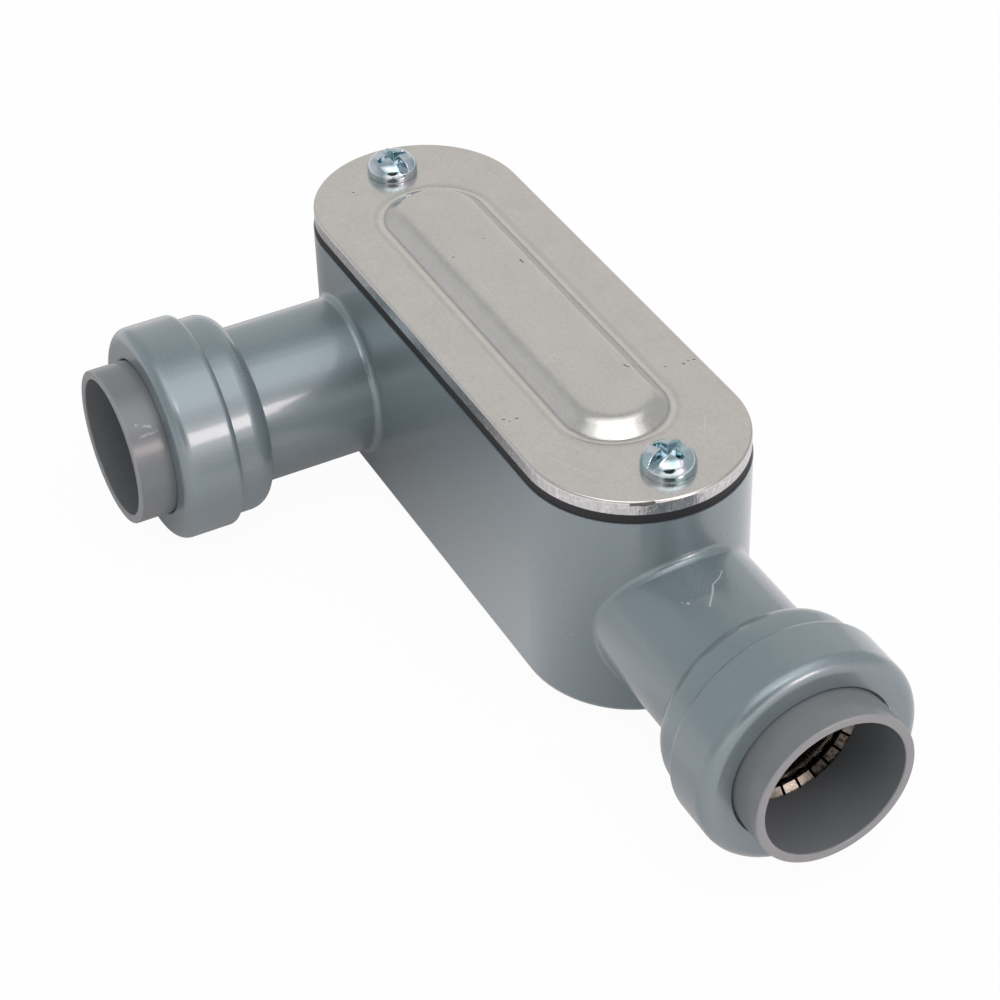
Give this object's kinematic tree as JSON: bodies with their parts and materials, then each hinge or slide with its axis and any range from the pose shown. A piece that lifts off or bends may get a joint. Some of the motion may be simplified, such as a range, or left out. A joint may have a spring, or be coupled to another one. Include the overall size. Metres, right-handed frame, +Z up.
{
  "type": "conduit body",
  "caption": "Left-outlet metal conduit body with push-in conduit sockets on its end and side, and a stamped cover screwed down over a gasket",
  "frame": {"origin": "under the middle of the whole part, on the plane that its two hub collars reach down to", "axes": "+X out of the end hub along the housing, -Y out of the side hub, +Z up through the cover"},
  "size_m": [0.1388, 0.0739, 0.0436],
  "materials": {
    "painted_casting": "blue-grey metallic paint, semi-gloss",
    "cover_sheet": "mill finish, blanked edge",
    "gasket": "black sheet rubber",
    "zinc_screw": "bright zinc plating, bluish",
    "sleeve_plastic": "smooth grey plastic, satin",
    "spring_steel": "bright stainless steel",
    "spacer_plastic": "dark plastic",
    "seal_rubber": "black rubber"
  },
  "bodies": {
    "fitting": {"housing": "painted_casting", "cover": "cover_sheet", "cover_gasket": "gasket", "cover_screw_hub_end": "zinc_screw", "cover_screw_closed_end": "zinc_screw", "end_collar": "painted_casting", "end_grip_ring": "spring_steel", "end_spacer_ring": "spacer_plastic", "end_bonding_spring": "spring_steel", "end_seal_washer": "spacer_plastic", "end_seal_ring": "seal_rubber", "side_collar": "painted_casting", "side_grip_ring": "spring_steel", "side_spacer_ring": "spacer_plastic", "side_bonding_spring": "spring_steel", "side_seal_washer": "spacer_plastic", "side_seal_ring": "seal_rubber"},
    "end_release": {"end_release_sleeve": "sleeve_plastic"},
    "side_release": {"side_release_sleeve": "sleeve_plastic"}
  },
  "joints": [
    {"name": "end_release_slide", "type": "slide", "parent": "fitting", "child": "end_release", "axis": [-1, 0, 0], "range_m": [0, 0.0022], "stiffness_N_per_m": 300, "deforming": ["end_grip_ring"]},
    {"name": "side_release_slide", "type": "slide", "parent": "fitting", "child": "side_release", "axis": [0, 1, 0], "range_m": [0, 0.0022], "stiffness_N_per_m": 300, "deforming": ["side_grip_ring"]}
  ]
}
